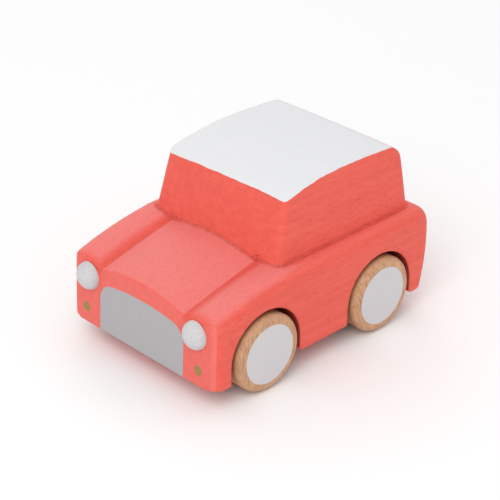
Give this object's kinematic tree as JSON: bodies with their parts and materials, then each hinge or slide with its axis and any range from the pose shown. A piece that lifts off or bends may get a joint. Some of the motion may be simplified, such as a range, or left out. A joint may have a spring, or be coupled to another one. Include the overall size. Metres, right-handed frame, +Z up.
{
  "type": "pull back car",
  "caption": "Small wooden toy car with a carved, stained body, beech wheels on steel axles and a spring pull-back motor on the rear axle.",
  "frame": {"origin": "on the ground under the middle of the car's overall box", "axes": "+X to the car's left, -Y forwards, +Z up"},
  "size_m": [0.0644, 0.0928, 0.0559],
  "materials": {
    "painted_beech": "thin matte coral-red stain over beech, white roof, silver-grey grille",
    "white_wood": "matte white paint over turned wood",
    "beech": "bare beech, lightly oiled, white painted hub disc",
    "rubber": "matte black rubber",
    "steel": "drawn steel rod",
    "spring_steel": "blued strip",
    "nylon": "natural moulded nylon",
    "black_plastic": "fine moulded texture",
    "zinc_steel": "bright zinc plate"
  },
  "bodies": {
    "body": {"body_block": "painted_beech", "left_headlight": "white_wood", "right_headlight": "white_wood", "front_left_bush": "nylon", "front_right_bush": "nylon", "transfer_shaft": "steel", "spring_arbor": "steel", "motor_base": "black_plastic", "motor_cover": "black_plastic", "case_screws": "zinc_steel", "motor_screws": "zinc_steel"},
    "front_wheels": {"front_axle": "steel", "front_left_wheel": "beech", "front_right_wheel": "beech", "front_left_grip": "rubber", "front_right_grip": "rubber"},
    "rear_wheels": {"rear_axle": "steel", "rear_left_wheel": "beech", "rear_right_wheel": "beech", "rear_left_grip": "rubber", "rear_right_grip": "rubber", "axle_pinion": "nylon"},
    "transfer": {"transfer_gear": "nylon"},
    "barrel": {"spring_barrel": "nylon", "barrel_lid": "nylon", "mainspring": "spring_steel"}
  },
  "joints": [
    {"name": "front_axle_spin", "type": "hinge", "parent": "body", "child": "front_wheels", "pos_m": [0, -0.02353, 0.0123], "axis": [1, 0, 0], "continuous": true},
    {"name": "rear_axle_spin", "type": "hinge", "parent": "body", "child": "rear_wheels", "pos_m": [0, 0.02347, 0.0123], "axis": [1, 0, 0], "continuous": true},
    {"name": "transfer_gear_spin", "type": "hinge", "parent": "body", "child": "transfer", "pos_m": [0, 0.01731, 0.02018], "axis": [1, 0, 0], "continuous": true},
    {"name": "spring_barrel_spin", "type": "hinge", "parent": "body", "child": "barrel", "pos_m": [0, 0.00637, 0.01903], "axis": [1, 0, 0], "continuous": true}
  ],
  "couplings": [
    {"joint": "transfer_gear_spin", "follows": "rear_axle_spin", "ratio": -0.42857},
    {"joint": "spring_barrel_spin", "follows": "rear_axle_spin", "ratio": 0.16071}
  ]
}
